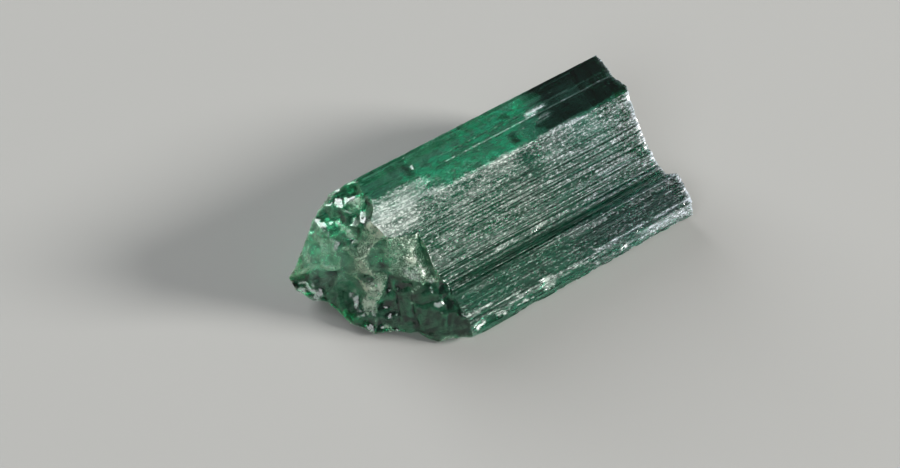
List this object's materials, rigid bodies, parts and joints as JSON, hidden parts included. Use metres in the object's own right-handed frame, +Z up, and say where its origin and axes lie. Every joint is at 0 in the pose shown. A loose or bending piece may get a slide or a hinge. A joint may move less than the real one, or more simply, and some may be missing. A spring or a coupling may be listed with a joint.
{
  "type": "tourmaline crystal",
  "caption": "Broken prism of green tourmaline with striated long faces, one fractured end and one blunt end, lying on a long face.",
  "frame": {"origin": "centre of the bounding box on the face that the crystal rests on", "axes": "+X along the crystal's long axis towards its blunt end, the fractured end at -X, +Y to the back, +Z up"},
  "size_m": [0.021, 0.01, 0.0064],
  "materials": {
    "tourmaline": "glassy dark green, frosted on the striated front face"
  },
  "bodies": {
    "root": {"crystal": "tourmaline"}
  },
  "joints": []
}
